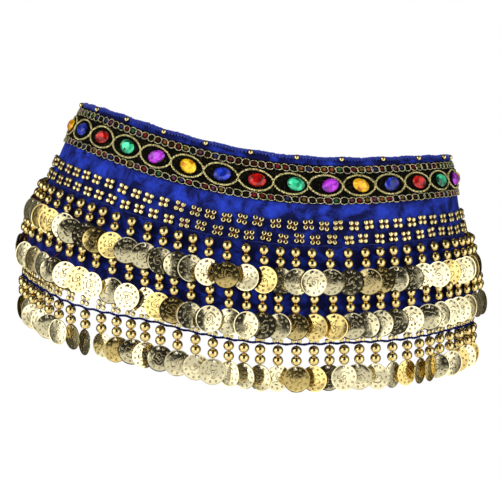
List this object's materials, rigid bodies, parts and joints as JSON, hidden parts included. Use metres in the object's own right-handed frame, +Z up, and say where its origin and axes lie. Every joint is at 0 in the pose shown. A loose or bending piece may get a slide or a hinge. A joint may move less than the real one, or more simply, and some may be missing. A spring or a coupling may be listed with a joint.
{
  "type": "belly dance hip scarf",
  "caption": "Blue velvet hip scarf in its worn form, open at waist and hem, with a jewelled band, fringes of gilt beads and coins, and a tied back.",
  "frame": {"origin": "on the wearer's axis, level with the middle of the jewelled band at the front, where the hips hold the scarf", "axes": "+Z up out of the waist opening, front towards -Y, +X towards the wearer's left hip, along the widest way across the hips"},
  "size_m": [0.3991, 0.2622, 0.223],
  "materials": {
    "velvet": "royal blue crushed velvet",
    "braid": "black woven braid with gold thread",
    "gilt": "bright gilt coins and beads",
    "ruby": "faceted, foil backed",
    "emerald": "faceted, foil backed",
    "amethyst": "faceted, foil backed",
    "amber": "faceted, foil backed",
    "sapphire": "faceted, foil backed"
  },
  "bodies": {
    "root": {"velvet_panel": "velvet", "jewel_band": "braid", "coin_fringe_upper": "gilt", "coin_fringe_middle": "gilt", "coin_fringe_lower": "gilt", "tie_knot": "velvet", "tie_band_left": "velvet", "tie_band_right": "velvet", "tie_tail_left": "velvet", "tie_tail_right": "velvet", "gem_left_13": "amethyst", "gem_left_12": "amber", "gem_left_11": "sapphire", "gem_left_10": "ruby", "gem_left_09": "emerald", "gem_left_08": "amethyst", "gem_left_07": "amber", "gem_left_06": "sapphire", "gem_left_05": "ruby", "gem_left_04": "emerald", "gem_left_03": "amethyst", "gem_left_02": "amber", "gem_left_01": "sapphire", "gem_right_00": "ruby", "gem_right_01": "emerald", "gem_right_02": "amethyst", "gem_right_03": "amber", "gem_right_04": "sapphire", "gem_right_05": "ruby", "gem_right_06": "emerald", "gem_right_07": "amethyst", "gem_right_08": "amber", "gem_right_09": "sapphire", "gem_right_10": "ruby", "gem_right_11": "emerald", "gem_right_12": "amethyst", "gem_right_13": "amber", "gem_right_14": "sapphire"}
  },
  "joints": []
}
